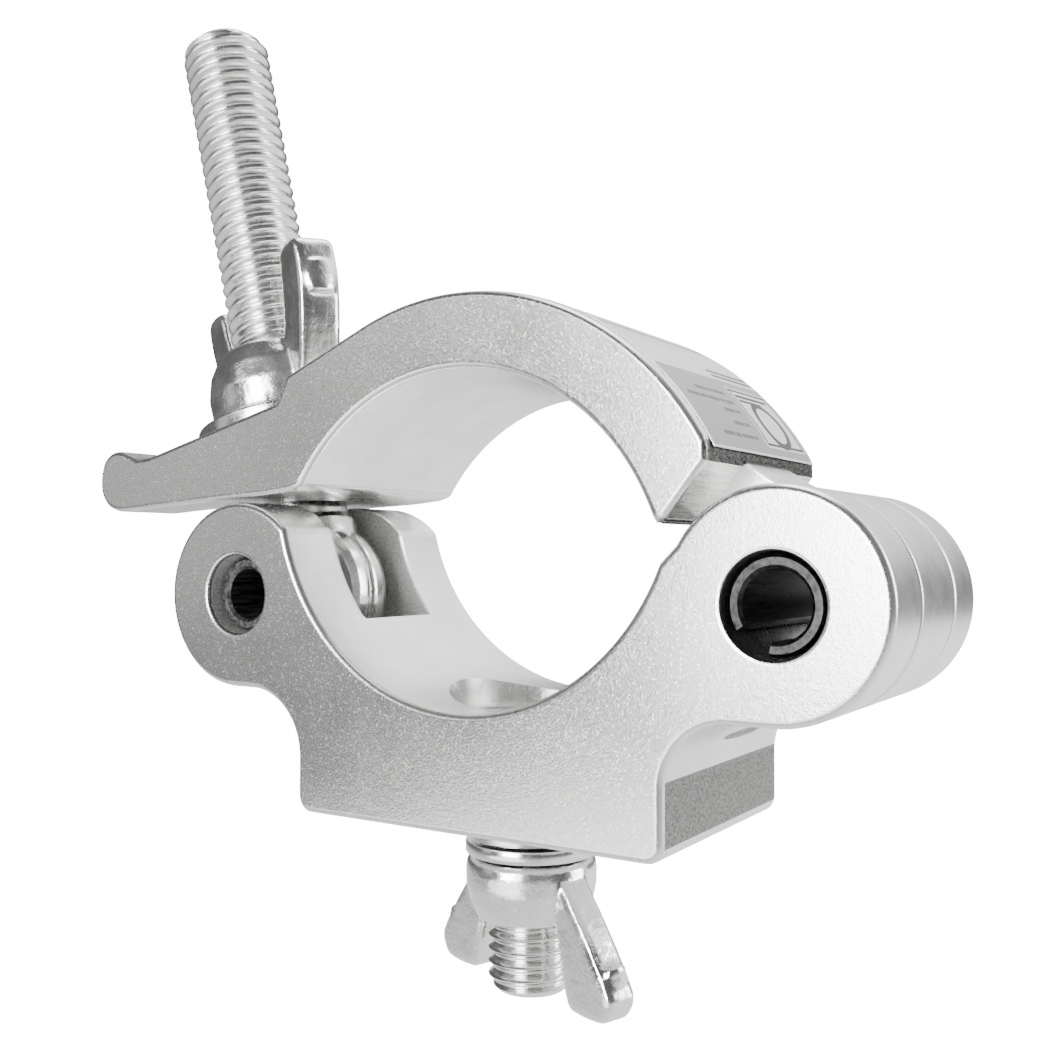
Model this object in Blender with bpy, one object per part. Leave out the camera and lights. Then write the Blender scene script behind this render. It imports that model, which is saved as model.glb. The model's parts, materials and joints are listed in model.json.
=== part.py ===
"""A 51 mm pipe clamp (half coupler) with a swing bolt, built in metres with +Z up.

X points to the hinge, Y along the pipe away from the viewer, and the origin is the middle of
the lower jaw's pipe seat. Every piece of the real clamp is one named object.
"""

from math import atan2, cos, hypot, pi, radians, sin, tau

import bmesh
import bpy
from mathutils import Matrix, Vector

MM = 0.001

# Extrusion
WIDTH = 30.0 * MM
PIPE_R = 25.5 * MM
GAP = 0.3 * MM

# Lower jaw
HINGE = (35.0 * MM, -13.35 * MM)
HINGE_R = 11.1 * MM
LATCH = (-32.8 * MM, -13.5 * MM)
LATCH_R = 11.1 * MM
PAD_Z = -38.3 * MM
PAD_LEFT = -22.5 * MM
PAD_RIGHT = 24.0 * MM
PAD_CORNER = 1.9 * MM
PAD_STRIP = 9.0 * MM
LEFT_FILLET = 7.5 * MM
RIGHT_FILLET = 6.6 * MM
POCKET_R = 9.5 * MM
POCKET_FLOOR = -33.5 * MM
LATCH_SLOT_R = 13.6 * MM

# Upper jaw, as it stands when the clamp is shut on nothing
ARCH = (-0.8 * MM, -14.4 * MM)
ARCH_OUTER = 33.6 * MM
SEAT_LOW = (-48.3 * MM, 3.75 * MM)
SEAT_HIGH = (-26.2 * MM, 9.15 * MM)
KNUCKLE_W = 12.0 * MM
FORK_W = 13.2 * MM
FORK_END = -28.9 * MM

# Swing bolt, M12, measured from the middle of its eye
SWING_TILT = -0.237
SWING_LENGTH = 78.5 * MM
SWING_R = 5.85 * MM
SHANK_R = 5.4 * MM
SHANK_END = 19.5 * MM
EYE_R = 9.0 * MM
EYE_W = 10.0 * MM
NUT_SEAT = 20.75 * MM

# Fixture bolt, M10 x 25
BOLT_R = 4.95 * MM
BOLT_LENGTH = 25.0 * MM
HEAD_FLATS = 16.0 * MM
HEAD_H = 6.0 * MM
WASHER_R = 7.6 * MM

# Spring pins
HINGE_BORE_R = 5.0 * MM
HINGE_PIN_R = 4.75 * MM
LATCH_BORE_R = 4.7 * MM
LATCH_PIN_R = 4.45 * MM
PIN_WALL = 1.4 * MM

# Label
LABEL_ARC = (radians(28), radians(84))
LABEL_W = 27.2 * MM
LABEL_T = 0.15 * MM

SEGMENTS = 64


def clear_scene():
    for obj in list(bpy.data.objects):
        bpy.data.objects.remove(obj, do_unlink=True)


def material(name, colour, roughness, metallic):
    made = bpy.data.materials.new(name)
    made.use_nodes = True
    shader = made.node_tree.nodes["Principled BSDF"]
    shader.inputs["Base Color"].default_value = (*colour, 1.0)
    shader.inputs["Roughness"].default_value = roughness
    shader.inputs["Metallic"].default_value = metallic
    return made


def arc(centre, radius, start, end, steps):
    """Points of an arc in the XZ plane, from one angle to the other, both included."""
    angles = [start + (end - start) * i / steps for i in range(steps + 1)]
    return [(centre[0] + radius * cos(a), centre[1] + radius * sin(a)) for a in angles]


def scaled(pairs):
    """Points given in millimetres."""
    return [(a * MM, b * MM) for a, b in pairs]


def circle(centre, radius, segments=SEGMENTS):
    return arc(centre, radius, 0, tau, segments)[:-1]


def link(name, mesh_maker, at=(0, 0, 0)):
    """Turn a bmesh drawn round the world origin into an object whose origin is at this point."""
    mesh = bpy.data.meshes.new(name)
    bmesh.ops.recalc_face_normals(mesh_maker, faces=mesh_maker.faces)
    bmesh.ops.translate(mesh_maker, verts=mesh_maker.verts, vec=-Vector(at))
    mesh_maker.to_mesh(mesh)
    mesh_maker.free()
    obj = bpy.data.objects.new(name, mesh)
    obj.location = at
    bpy.context.scene.collection.objects.link(obj)
    return obj


def prism(name, outline, y0, y1, at=(0, 0, 0), between=()):
    """A closed XZ outline pulled out along Y, with its sides split at the stations between."""
    bm = bmesh.new()
    rings = [[bm.verts.new((x, y, z)) for x, z in outline] for y in (y0, *between, y1)]
    bm.faces.new(rings[0])
    bm.faces.new(rings[-1][::-1])
    for near, far in zip(rings, rings[1:]):
        for i in range(len(outline)):
            j = (i + 1) % len(outline)
            bm.faces.new((near[i], far[i], far[j], near[j]))
    return link(name, bm, at)


def turned(name, profile, segments=SEGMENTS):
    """A closed (radius, height) profile turned about Z. Points on the axis become one vertex."""
    bm = bmesh.new()
    rings = []
    for radius, height in profile:
        if radius < 1e-7:
            rings.append([bm.verts.new((0, 0, height))])
            continue
        angles = [tau * i / segments for i in range(segments)]
        rings.append([bm.verts.new((radius * cos(a), radius * sin(a), height)) for a in angles])
    for low, high in zip(rings, rings[1:] + rings[:1]):
        for i in range(segments):
            j = (i + 1) % segments
            corners = [low[i % len(low)], low[j % len(low)], high[j % len(high)], high[i % len(high)]]
            corners = list(dict.fromkeys(corners))
            if len(corners) > 2:
                bm.faces.new(corners)
    return link(name, bm)


def boolean(target, other, operation):
    """Join or cut now, and drop the helper."""
    modifier = target.modifiers.new(operation.title(), "BOOLEAN")
    modifier.object = other
    modifier.operation = operation
    modifier.solver = "EXACT"
    bpy.context.view_layer.update()
    evaluated = target.evaluated_get(bpy.context.evaluated_depsgraph_get())
    mesh = bpy.data.meshes.new_from_object(evaluated)
    target.modifiers.clear()
    target.data = mesh
    bpy.data.objects.remove(other, do_unlink=True)


def cut(target, other):
    boolean(target, other, "DIFFERENCE")


def join(target, other):
    boolean(target, other, "UNION")


def paint(obj, mat):
    obj.data.materials.clear()
    obj.data.materials.append(mat)


def lower_jaw_outline():
    """The extrusion's outline, from the pad's lower left corner round to the right."""
    left_corner = (PAD_LEFT + PAD_CORNER, PAD_Z + PAD_CORNER)
    right_corner = (PAD_RIGHT - PAD_CORNER, PAD_Z + PAD_CORNER)
    right_top = HINGE[1] - HINGE_R
    left_top = LATCH[1] - LATCH_R
    reach = hypot(*LATCH)
    along = (reach**2 + PIPE_R**2 - LATCH_R**2) / (2 * reach)
    spread = (PIPE_R**2 - along**2) ** 0.5
    away = (LATCH[0] / reach, LATCH[1] / reach)
    meet = (away[0] * along + away[1] * spread, away[1] * along - away[0] * spread)
    bore_end = atan2(meet[1], meet[0])
    knuckle_start = atan2(meet[1] - LATCH[1], meet[0] - LATCH[0])
    points = arc(left_corner, PAD_CORNER, pi, 1.5 * pi, 4)
    points += arc(right_corner, PAD_CORNER, 1.5 * pi, tau, 4)
    points += arc((PAD_RIGHT + RIGHT_FILLET, right_top - RIGHT_FILLET), RIGHT_FILLET, pi, pi / 2, 9)
    points += arc(HINGE, HINGE_R, -pi / 2, radians(150), 36)
    points += arc((0, 0), PIPE_R, radians(-22), bore_end, 48)
    points += arc(LATCH, LATCH_R, knuckle_start, 1.5 * pi, 34)[1:]
    points += arc((PAD_LEFT - LEFT_FILLET, left_top - LEFT_FILLET), LEFT_FILLET, pi / 2, 0, 9)
    return points


def make_lower_jaw(mat):
    # Split along the pad, so that a strip of it on each side is one flat face clear of the washers
    strips = (-PAD_STRIP, PAD_STRIP)
    jaw = prism("lower_jaw", lower_jaw_outline(), -WIDTH / 2, WIDTH / 2, between=strips)
    slot = KNUCKLE_W / 2 + GAP
    over = 40 * MM
    # Room for the upper jaw's knuckle and for its neck as it swings up
    knuckle_room = arc(HINGE, HINGE_R + 0.5 * MM, radians(168), radians(300), 30)
    knuckle_room += [(2 * over, -over), (2 * over, over), (10 * MM, over), (18 * MM, -9 * MM)]
    cut(jaw, prism("knuckle_room", knuckle_room, -slot, slot))
    # Slot for the swing bolt's eye, left open at the outer end
    eye_room = arc(LATCH, LATCH_SLOT_R, radians(-70), radians(62), 30)
    eye_room += [(LATCH[0], over), (-over - 20 * MM, over), (-over - 20 * MM, -over)]
    eye_room += [(LATCH[0], -over)]
    cut(jaw, prism("eye_room", eye_room, -slot, slot))
    for centre, radius in ((HINGE, HINGE_BORE_R), (LATCH, LATCH_BORE_R)):
        cut(jaw, prism("pin_bore", circle(centre, radius, 48), -WIDTH, WIDTH))
    cut(jaw, turned("head_pocket", [(0, POCKET_FLOOR), (POCKET_R, POCKET_FLOOR), (POCKET_R, 0), (0, 0)]))
    bolt_hole = BOLT_R + GAP
    cut(jaw, turned("bolt_hole", [(0, -50 * MM), (bolt_hole, -50 * MM), (bolt_hole, 0), (0, 0)], 48))
    paint(jaw, mat)
    return jaw


def upper_jaw_outline():
    """The arch, the seat for the nut, the lip at the end of the tail and its underside."""
    step_top = (-24.6 * MM, 12.25 * MM)
    step_corner = (SEAT_HIGH[0] + 0.4 * MM, SEAT_HIGH[1] + 0.6 * MM)
    lip = [(-50.6, 3.55), (-52.4, 4.15), (-54.2, 4.7), (-55.8, 4.55), (-57.2, 3.6), (-57.9, 2.0)]
    lip += [(-58.0, 0.4), (-57.5, -1.2), (-56.4, -2.4), (-54.8, -3.05), (-53.0, -3.2)]
    underside = [(-36.0, -2.12), (-28.0, -1.75), (-23.9, -1.35), (-22.6, -1.0)]
    points = arc(ARCH, ARCH_OUTER, radians(26.7), radians(112), 34)
    points += [step_top, step_corner, SEAT_HIGH, SEAT_LOW]
    points += scaled(lip + underside)
    points += arc(ARCH, PIPE_R, radians(147.5), radians(18.1), 44)
    return points


def make_upper_jaw(mat):
    at = (HINGE[0], 0, HINGE[1])
    jaw = prism("upper_jaw", upper_jaw_outline(), -WIDTH / 2, WIDTH / 2, at)
    # The neck and knuckle between the lower jaw's two ears
    half = KNUCKLE_W / 2
    neck = arc(HINGE, HINGE_R, radians(95), radians(-215), 54)
    neck += scaled([(22.2, -4.0), (23.5, 1.5), (26.5, 1.5), (29.1, 0.62)])
    neck += scaled([(30.3, -0.3), (31.7, -1.35), (33.0, -2.0)])
    join(jaw, prism("neck", neck, -half, half))
    cut(jaw, prism("arch_bore", circle(ARCH, PIPE_R, 128), -WIDTH, WIDTH))
    cut(jaw, prism("pin_bore", circle(HINGE, HINGE_BORE_R, 48), -WIDTH, WIDTH))
    # Fork for the swing bolt: straight sides and a round end
    bm = bmesh.new()
    plan = arc((FORK_END - FORK_W / 2, 0), FORK_W / 2, -pi / 2, pi / 2, 20)
    plan += [(-80 * MM, FORK_W / 2), (-80 * MM, -FORK_W / 2)]
    low = [bm.verts.new((x, y, -20 * MM)) for x, y in plan]
    high = [bm.verts.new((x, y, 20 * MM)) for x, y in plan]
    bm.faces.new(low)
    bm.faces.new(high)
    for i in range(len(plan)):
        j = (i + 1) % len(plan)
        bm.faces.new((low[i], low[j], high[j], high[i]))
    cut(jaw, link("fork", bm))
    paint(jaw, mat)
    return jaw


def c_ring(centre, outer, inner, opening, width):
    """The outline of a ring with a gap: opening is the gap's middle, width its angle."""
    start = opening + width / 2
    end = opening - width / 2 + tau
    return arc(centre, outer, start, end, 44) + arc(centre, inner, end, start, 36)


def make_spring_pin(name, centre, radius, length, opening, width, mat):
    outline = c_ring(centre, radius, radius - PIN_WALL, opening, width)
    pin = prism(name, outline, -length / 2, length / 2, (centre[0], 0, centre[1]))
    paint(pin, mat)
    return pin


def swing_frame():
    """The bolt's own frame, with Z along its axis, in the clamp's frame."""
    return Matrix.Translation((LATCH[0], 0, LATCH[1])) @ Matrix.Rotation(SWING_TILT, 4, "Y")


def make_swing_bolt(mat):
    chamfer = 1.3 * MM
    half = EYE_W / 2
    bevel = 1.6 * MM
    rim = [(0, -half), (EYE_R - bevel, -half), (EYE_R, -half + bevel)]
    rim += [(radius, -height) for radius, height in reversed(rim)]
    eye = turned("swing_bolt", rim)
    eye.data.transform(Matrix.Rotation(pi / 2, 4, "X"))
    stem = [(0, 5 * MM), (SHANK_R, 5 * MM), (SHANK_R, SHANK_END), (SWING_R, SHANK_END + 0.6 * MM)]
    stem += [(SWING_R, SWING_LENGTH - chamfer), (SWING_R - chamfer, SWING_LENGTH), (0, SWING_LENGTH)]
    join(eye, turned("stem", stem, 48))
    cut(eye, prism("eye_hole", circle((0, 0), LATCH_BORE_R, 48), -WIDTH, WIDTH))
    eye.matrix_world = swing_frame()
    paint(eye, mat)
    return eye


def make_washer(name, outer, inner, thickness, mat, edge=0.25 * MM):
    profile = [(inner, 0), (outer - edge, 0), (outer, edge), (outer, thickness - edge)]
    profile += [(outer - edge, thickness), (inner, thickness)]
    washer = turned(name, profile, 56)
    paint(washer, mat)
    return washer


def make_wing_nut(name, hub, bore, wing, thickness, mat):
    """A barrel hub with two wings along X, standing on its base at the origin."""
    nut = turned(name, hub, 56)
    for side in (1, -1):
        outline = [(side * radius, height) for radius, height in wing]
        join(nut, prism("wing", outline, -thickness / 2, thickness / 2))
    height = max(h for _, h in hub) + 1 * MM
    cut(nut, turned("nut_bore", [(0, -MM), (bore, -MM), (bore, height), (0, height)], 48))
    paint(nut, mat)
    return nut


def make_clamp_nut_set(zinc):
    seat = swing_frame() @ Matrix.Translation((0, 0, NUT_SEAT))
    washer = make_washer("clamp_washer", 12.0 * MM, 6.4 * MM, 2.2 * MM, zinc)
    washer.matrix_world = seat
    hub = scaled([(0, 0), (9.0, 0), (9.7, 1.2), (9.8, 4.0), (9.2, 6.8), (7.9, 9.0), (7.3, 9.6), (0, 9.6)])
    wing = scaled([(7.4, 1.6), (9.2, 1.2), (11.2, 3.4), (13.2, 7.2), (14.9, 11.8), (15.6, 14.8)])
    wing += scaled([(15.7, 17.8), (15.0, 19.3), (13.4, 19.8), (11.2, 19.5), (9.9, 17.8), (7.4, 8.8)])
    nut = make_wing_nut("clamp_wing_nut", hub, 6.25 * MM, wing, 5.4 * MM, zinc)
    nut.matrix_world = seat @ Matrix.Translation((0, 0, 2.4 * MM)) @ Matrix.Rotation(radians(-22), 4, "Z")


def make_fixture_set(zinc):
    head_base = POCKET_FLOOR + 0.2 * MM
    corner = HEAD_FLATS / 2 / cos(pi / 6)
    bm = bmesh.new()
    for height in (0, HEAD_H):
        for i in range(6):
            bm.verts.new((corner * cos(i * pi / 3), corner * sin(i * pi / 3), height))
    verts = list(bm.verts)
    bm.faces.new(verts[:6])
    bm.faces.new(verts[6:])
    for i in range(6):
        j = (i + 1) % 6
        bm.faces.new((verts[i], verts[j], verts[j + 6], verts[i + 6]))
    bolt = link("fixture_bolt", bm)
    end = -BOLT_LENGTH
    shaft = [(0, end), (BOLT_R - MM, end), (BOLT_R, end + MM), (BOLT_R, MM), (0, MM)]
    join(bolt, turned("shaft", shaft, 48))
    bolt.location.z = head_base
    paint(bolt, zinc)

    spring = c_ring((0, 0), WASHER_R, 5.15 * MM, radians(-118), radians(8))
    ring = prism("spring_washer", spring, 0, 2.5 * MM)
    ring.data.transform(Matrix.Rotation(pi / 2, 4, "X"))
    ring.location.z = PAD_Z - 2.7 * MM
    paint(ring, zinc)

    plain = make_washer("plain_washer", WASHER_R, 5.25 * MM, 1.6 * MM, zinc)
    plain.location.z = PAD_Z - 4.5 * MM

    hub = scaled([(0, 0), (7.0, 0), (7.5, 0.8), (7.5, 3.0), (7.1, 5.0), (6.4, 6.6), (6.2, 7.0), (0, 7.0)])
    wing = scaled([(6.0, 1.4), (7.2, 1.2), (8.6, 2.8), (10.4, 5.2), (12.8, 8.2), (14.9, 11.0)])
    wing += scaled([(15.3, 12.6), (14.6, 14.2), (13.0, 15.3), (11.0, 15.4), (9.4, 14.4), (6.0, 6.4)])
    nut = make_wing_nut("fixture_wing_nut", hub, 5.2 * MM, wing, 3.7 * MM, zinc)
    nut.rotation_euler = (pi, 0, radians(-19))
    nut.location.z = PAD_Z - 4.8 * MM


def make_label(mat):
    inner = ARCH_OUTER + 0.03 * MM
    start, end = LABEL_ARC
    outline = arc(ARCH, inner + LABEL_T, start, end, 20) + arc(ARCH, inner, end, start, 20)
    label = prism("rating_label", outline, -LABEL_W / 2, LABEL_W / 2, (HINGE[0], 0, HINGE[1]))
    paint(label, mat)


def build():
    clear_scene()
    aluminium = material("aluminium", (0.62, 0.62, 0.61), 0.38, 1.0)
    zinc = material("zinc", (0.72, 0.72, 0.71), 0.2, 1.0)
    spring_steel = material("spring_steel", (0.18, 0.18, 0.18), 0.4, 1.0)
    foil = material("foil", (0.5, 0.5, 0.5), 0.45, 0.2)
    make_lower_jaw(aluminium)
    make_upper_jaw(aluminium)
    make_spring_pin("hinge_pin", HINGE, HINGE_PIN_R, 28 * MM, radians(237), radians(50), spring_steel)
    make_spring_pin("latch_pin", LATCH, LATCH_PIN_R, 26 * MM, radians(20), radians(16), spring_steel)
    make_swing_bolt(zinc)
    make_clamp_nut_set(zinc)
    make_fixture_set(zinc)
    make_label(foil)


build()
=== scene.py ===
"""Looks for the 51 mm pipe clamp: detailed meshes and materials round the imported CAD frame.

Metres, in the clamp's own frame: X towards the hinge, Y along the pipe, Z up, with the origin in
the middle of the lower jaw's pipe seat.
"""

import json
from math import asin, atan2, ceil, cos, hypot, pi, radians, sin, tau

import bmesh
import bpy
from mathutils import Matrix, Vector


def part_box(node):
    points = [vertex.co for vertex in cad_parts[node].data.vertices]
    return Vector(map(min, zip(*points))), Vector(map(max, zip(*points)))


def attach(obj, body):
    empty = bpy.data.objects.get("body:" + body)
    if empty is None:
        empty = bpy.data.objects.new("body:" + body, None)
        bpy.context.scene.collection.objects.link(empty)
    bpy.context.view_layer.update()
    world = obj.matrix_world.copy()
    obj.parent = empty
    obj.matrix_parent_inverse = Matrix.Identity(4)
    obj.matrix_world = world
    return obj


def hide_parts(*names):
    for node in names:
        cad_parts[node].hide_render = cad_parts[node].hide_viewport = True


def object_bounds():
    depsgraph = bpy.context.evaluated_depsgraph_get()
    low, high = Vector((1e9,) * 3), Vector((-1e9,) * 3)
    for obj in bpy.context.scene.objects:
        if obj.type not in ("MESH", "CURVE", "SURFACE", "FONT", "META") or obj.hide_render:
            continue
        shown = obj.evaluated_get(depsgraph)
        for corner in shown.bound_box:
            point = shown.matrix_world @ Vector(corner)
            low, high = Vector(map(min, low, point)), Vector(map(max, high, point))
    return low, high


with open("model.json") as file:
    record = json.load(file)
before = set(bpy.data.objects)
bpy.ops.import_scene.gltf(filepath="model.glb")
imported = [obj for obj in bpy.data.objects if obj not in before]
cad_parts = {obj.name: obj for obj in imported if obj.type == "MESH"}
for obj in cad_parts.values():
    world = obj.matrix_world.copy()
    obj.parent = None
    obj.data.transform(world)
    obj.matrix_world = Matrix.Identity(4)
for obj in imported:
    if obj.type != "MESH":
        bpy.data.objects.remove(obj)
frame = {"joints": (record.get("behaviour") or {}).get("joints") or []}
CAD_BOX = [list(corner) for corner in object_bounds()]

MM = 0.001
JOINTS = {joint["name"]: joint for joint in frame["joints"]}

# Places read from the frame
JAW_LOW, JAW_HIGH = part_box("lower_jaw")
HALF_WIDTH = JAW_HIGH.y
PAD_Z = JAW_LOW.z
HINGE = (JOINTS["jaw_hinge"]["pos_m"][0], JOINTS["jaw_hinge"]["pos_m"][2])
LATCH = (JOINTS["bolt_swing"]["pos_m"][0], JOINTS["bolt_swing"]["pos_m"][2])
ROD_AXIS = Vector(JOINTS["clamp_nut_travel"]["axis"])
SWING = Matrix.Translation((LATCH[0], 0, LATCH[1])) @ Matrix.Rotation(asin(ROD_AXIS.x), 4, "Y")
PIN_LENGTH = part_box("hinge_pin")[1].y * 2
LATCH_PIN_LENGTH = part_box("latch_pin")[1].y * 2

# Extrusion, as the CAD has it
PIPE_R = 25.5 * MM
KNUCKLE_R = 11.088 * MM
ARCH = (-0.8 * MM, -14.4 * MM)
ARCH_R = 33.6 * MM
SLOT = 6.3 * MM
NECK = 6.0 * MM
FORK_W = 13.2 * MM
FORK_END = -28.9 * MM
HINGE_BORE_R = 5.0 * MM
LATCH_BORE_R = 4.7 * MM
POCKET_R = 9.5 * MM
POCKET_FLOOR = -33.5 * MM
BOLT_HOLE_R = 5.25 * MM
PAD_LEFT = -22.5 * MM
PAD_RIGHT = 24 * MM
RIGHT_FILLET = 6.6 * MM
RIGHT_FILLET_AT = (PAD_RIGHT + RIGHT_FILLET, HINGE[1] - KNUCKLE_R - RIGHT_FILLET)
GOUGE_AT = (24.9 * MM, 3 * MM, -27.5 * MM)

# The jaws' material slots, in the order that make_lower_jaw and make_upper_jaw get them
SAWN, DRAWN, GRAINY_SHADED, BRUSHED, SHADED_WALL = range(5)

# Camera
CAMERA_AT = (74.205 * MM, -116.599 * MM, -8.872 * MM)
CAMERA_TURN = (radians(91.246), radians(-0.021), radians(32.549))
LENS = 40.444

# Stage
FLOOR_Z = CAD_BOX[0][2] - 60 * MM
PAPER_SEEN = 16.0


# ---------------------------------------------------------------- shapes


def arc(centre, radius, start, end, steps):
    """Points of an arc, from one angle to the other, both included."""
    angles = [start + (end - start) * i / steps for i in range(steps + 1)]
    return [(centre[0] + radius * cos(a), centre[1] + radius * sin(a)) for a in angles]


def scaled(pairs):
    """Points given in millimetres."""
    return [(a * MM, b * MM) for a, b in pairs]


def eased(a, corner, b, steps=4):
    """A rounded corner between two points."""
    curve = []
    for i in range(steps + 1):
        t = i / steps
        weights = ((1 - t) ** 2, 2 * t * (1 - t), t**2)
        curve.append(tuple(sum(w * p[k] for w, p in zip(weights, (a, corner, b))) for k in (0, 1)))
    return curve


def towards(a, b, distance):
    """The point this far from a on the way to b."""
    part = distance / hypot(b[0] - a[0], b[1] - a[1])
    return (a[0] + (b[0] - a[0]) * part, a[1] + (b[1] - a[1]) * part)


def flowing(points, steps=5):
    """A smooth curve through a few points, ends included (Catmull-Rom)."""
    ends = [points[0], *points, points[-1]]
    curve = []
    for a, b, c, d in zip(ends, ends[1:], ends[2:], ends[3:]):
        for i in range(steps):
            t = i / steps
            weights = (
                (-t + 2 * t**2 - t**3) / 2,
                (2 - 5 * t**2 + 3 * t**3) / 2,
                (t + 4 * t**2 - 3 * t**3) / 2,
                (-(t**2) + t**3) / 2,
            )
            curve.append(tuple(sum(w * p[k] for w, p in zip(weights, (a, b, c, d))) for k in (0, 1)))
    return curve + [points[-1]]


def link(name, bm):
    """A bmesh as an object, with its faces turned outwards."""
    bmesh.ops.recalc_face_normals(bm, faces=bm.faces)
    mesh = bpy.data.meshes.new(name)
    bm.to_mesh(mesh)
    bm.free()
    obj = bpy.data.objects.new(name, mesh)
    bpy.context.scene.collection.objects.link(obj)
    return obj


def prism(name, outline, y0, y1):
    """A closed XZ outline pulled out along Y."""
    bm = bmesh.new()
    near = [bm.verts.new((x, y0, z)) for x, z in outline]
    far = [bm.verts.new((x, y1, z)) for x, z in outline]
    bm.faces.new(near)
    bm.faces.new(far[::-1])
    for i in range(len(outline)):
        j = (i + 1) % len(outline)
        bm.faces.new((near[i], far[i], far[j], near[j]))
    return link(name, bm)


def turned(name, profile, segments=96):
    """A closed (radius, height) profile turned about Z."""
    bm = bmesh.new()
    rings = []
    for radius, height in profile:
        count = 1 if radius < 1e-7 else segments
        angles = [tau * i / count for i in range(count)]
        rings.append([bm.verts.new((radius * cos(a), radius * sin(a), height)) for a in angles])
    for low, high in zip(rings, rings[1:] + rings[:1]):
        for i in range(segments):
            j = (i + 1) % segments
            corners = [low[i % len(low)], low[j % len(low)], high[j % len(high)], high[i % len(high)]]
            corners = list(dict.fromkeys(corners))
            if len(corners) > 2:
                bm.faces.new(corners)
    return link(name, bm)


def skin(bm, rings, closed=False):
    """Faces between rings of points, either closed in a loop or capped at both ends."""
    followers = rings[1:] + rings[:1] if closed else rings[1:]
    for ring, other in zip(rings, followers):
        for k in range(len(ring)):
            n = (k + 1) % len(ring)
            bm.faces.new((ring[k], ring[n], other[n], other[k]))
    if not closed:
        bm.faces.new(rings[0])
        bm.faces.new(rings[-1][::-1])


def apply_modifiers(obj):
    """Keep what the object's modifiers make, and drop them."""
    bpy.context.view_layer.update()
    evaluated = obj.evaluated_get(bpy.context.evaluated_depsgraph_get())
    mesh = bpy.data.meshes.new_from_object(evaluated)
    obj.modifiers.clear()
    obj.data = mesh


def boolean(target, other, operation):
    """Apply a Boolean to the target and throw the tool away."""
    modifier = target.modifiers.new(operation.title(), "BOOLEAN")
    modifier.object = other
    modifier.operation = operation
    modifier.solver = "EXACT"
    apply_modifiers(target)
    bpy.data.objects.remove(other, do_unlink=True)


def cut(target, other):
    boolean(target, other, "DIFFERENCE")


def join(target, other):
    boolean(target, other, "UNION")


def tidy_mesh(obj):
    """Merge what a Boolean leaves: doubled points and coplanar faces."""
    bm = bmesh.new()
    bm.from_mesh(obj.data)
    bmesh.ops.remove_doubles(bm, verts=bm.verts, dist=4e-6)
    bmesh.ops.dissolve_degenerate(bm, edges=bm.edges, dist=2e-6)
    bmesh.ops.dissolve_limit(bm, angle_limit=radians(0.3), verts=bm.verts, edges=bm.edges)
    bm.to_mesh(obj.data)
    bm.free()


def round_edges(obj, width, segments, chosen, sharper_than=radians(22)):
    """Round the sharp edges that chosen(edge) picks."""
    bm = bmesh.new()
    bm.from_mesh(obj.data)
    bm.normal_update()
    edges = [e for e in bm.edges if e.is_manifold and e.is_convex]
    edges = [e for e in edges if e.calc_face_angle() > sharper_than and chosen(e)]
    bmesh.ops.bevel(
        bm, geom=edges, offset=width, offset_type="OFFSET", segments=segments, profile=0.5,
        affect="EDGES", clamp_overlap=False,
    )
    bm.to_mesh(obj.data)
    bm.free()


def slice_across(obj, *places):
    """Split the faces at these places along Y, so that a small bevel can't bend a whole strip."""
    bm = bmesh.new()
    bm.from_mesh(obj.data)
    for y in places:
        geometry = bm.verts[:] + bm.edges[:] + bm.faces[:]
        bmesh.ops.bisect_plane(bm, geom=geometry, plane_co=(0, y, 0), plane_no=(0, 1, 0), dist=1e-7)
    bm.to_mesh(obj.data)
    bm.free()


def flat_distance(point, centre):
    """How far a point is from an (x, z) centre, seen along the pipe."""
    return hypot(point.x - centre[0], point.z - centre[1])


def in_plane(y, near=None, reach=0.0, away=()):
    """Picks edges that end on the planes Y = y and Y = -y, near a point in XZ or away from others."""

    def chosen(edge):
        if any(abs(abs(v.co.y) - y) > 1e-5 for v in edge.verts):
            return False
        middle = (edge.verts[0].co + edge.verts[1].co) / 2
        if near is not None:
            return flat_distance(middle, near) < reach
        return all(flat_distance(middle, centre) > reach for centre in away)

    return chosen


def remeshed(obj, voxel, smooths):
    """Fuse and soften a shape, as a casting or forging is."""
    remesh = obj.modifiers.new("Remesh", "REMESH")
    remesh.mode = "VOXEL"
    remesh.voxel_size = voxel
    smooth = obj.modifiers.new("Smooth", "SMOOTH")
    smooth.factor = 0.5
    smooth.iterations = smooths
    apply_modifiers(obj)


def shade(obj, angle=radians(35)):
    """Smooth shading with crisp edges and flat faces kept flat."""
    obj.data.shade_smooth()
    obj.data.set_sharp_from_angle(angle=angle)
    weighted = obj.modifiers.new("Weighted normals", "WEIGHTED_NORMAL")
    weighted.keep_sharp = True
    weighted.weight = 60


def place(obj, body, node, slot, *materials, matrix=None):
    """Put a finished piece on its body, with its materials and the node it stands for."""
    for material in materials:
        obj.data.materials.append(material)
    if matrix is not None:
        obj.data.transform(matrix)
    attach(obj, body)
    if node:
        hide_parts(node)


# ---------------------------------------------------------------- materials


def warm_grey(value):
    return (value, value, value - 0.01)


def feed(tree, socket, value):
    """Link an output to a socket, or give the socket a plain number or colour."""
    if isinstance(value, bpy.types.NodeSocket):
        tree.links.new(value, socket)
    elif isinstance(value, tuple):
        socket.default_value = (*value, 1)
    else:
        socket.default_value = value


def maths(tree, operation, a, b):
    node = tree.nodes.new("ShaderNodeMath")
    node.operation = operation
    feed(tree, node.inputs[0], a)
    feed(tree, node.inputs[1], b)
    return node.outputs[0]


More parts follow.
